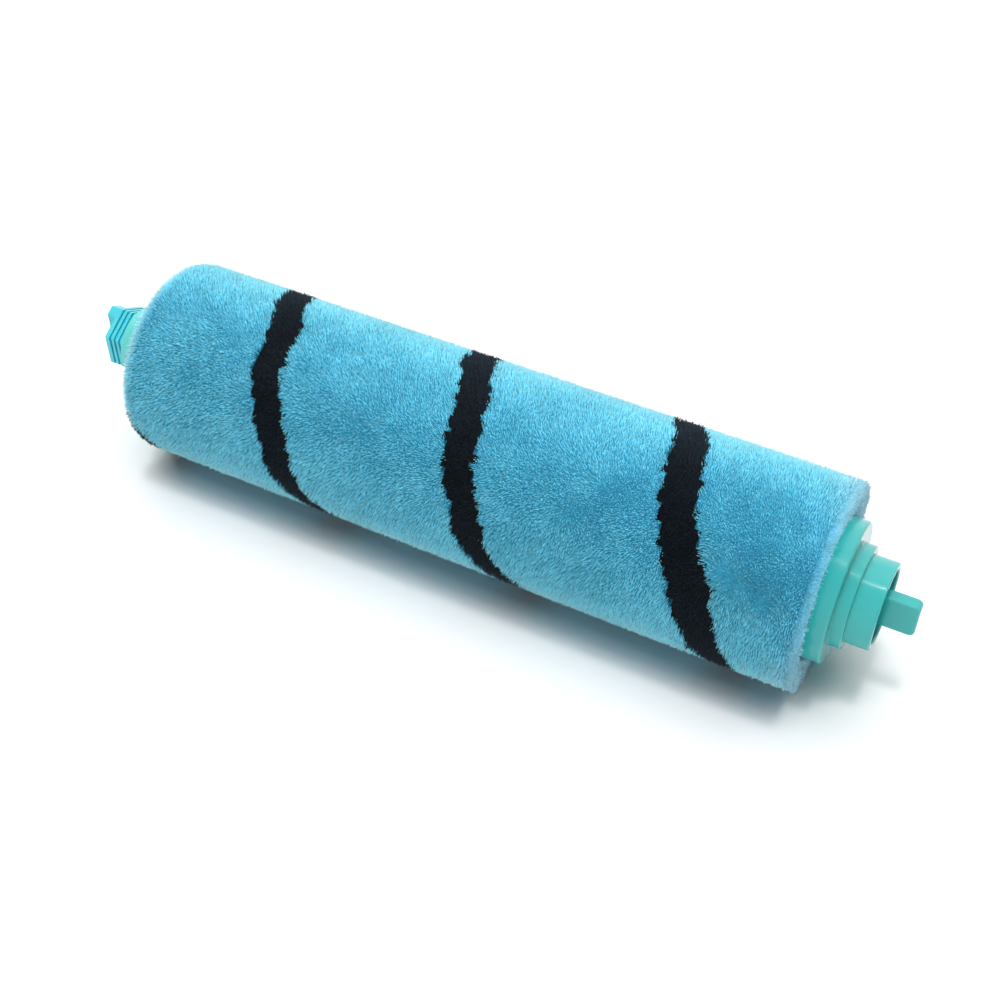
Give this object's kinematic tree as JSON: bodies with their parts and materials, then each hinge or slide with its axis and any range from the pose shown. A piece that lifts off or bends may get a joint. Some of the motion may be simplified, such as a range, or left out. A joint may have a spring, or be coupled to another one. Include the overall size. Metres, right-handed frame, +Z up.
{
  "type": "vacuum roller brush",
  "caption": "Soft plush roller with a helical dark strip, a ribbed hexagon drive coupling at one end and a bearing-mounted stub axle with a flat tab at the other.",
  "frame": {"origin": "on the spin axis, at the root of the collar ring of the bearing end cap", "axes": "+X along the spin axis out of the bearing end, +Z up as the roller lies on its flat spot"},
  "size_m": [0.2094, 0.048, 0.0473],
  "materials": {
    "plush_blue": "short dense pile",
    "pile_black": "short dense pile",
    "tube_plastic": "extruded",
    "cap_teal": "moulded, glossy",
    "cap_green": "moulded, glossy",
    "coupling_cyan": "moulded, satin",
    "axle_teal": "moulded, glossy",
    "bearing_steel": "ground",
    "ball_steel": "polished",
    "cage_nylon": "moulded",
    "shield_steel": "pressed",
    "felt_grey": "felt",
    "zinc_steel": "zinc plated"
  },
  "bodies": {
    "roller": {"blue_plush_strip": "plush_blue", "black_pile_strip": "pile_black", "core_tube": "tube_plastic", "bearing_end_cap": "cap_teal", "drive_end_cap": "cap_green", "drive_coupling": "coupling_cyan", "bearing_outer_ring": "bearing_steel", "bearing_outer_shield": "shield_steel", "bearing_inner_shield": "shield_steel", "felt_dust_ring": "felt_grey"},
    "axle": {"stub_axle": "axle_teal", "bearing_inner_ring": "bearing_steel", "axle_washer": "zinc_steel", "axle_screw": "zinc_steel"},
    "ball_set": {"bearing_balls": "ball_steel", "bearing_cage": "cage_nylon"}
  },
  "joints": [
    {"name": "axle_spin", "type": "hinge", "parent": "roller", "child": "axle", "pos_m": [-0.0035, 0, 0], "axis": [1, 0, 0], "continuous": true},
    {"name": "cage_orbit", "type": "hinge", "parent": "roller", "child": "ball_set", "pos_m": [-0.0035, 0, 0], "axis": [1, 0, 0], "continuous": true}
  ],
  "couplings": [
    {"joint": "cage_orbit", "follows": "axle_spin", "ratio": 0.4008}
  ]
}
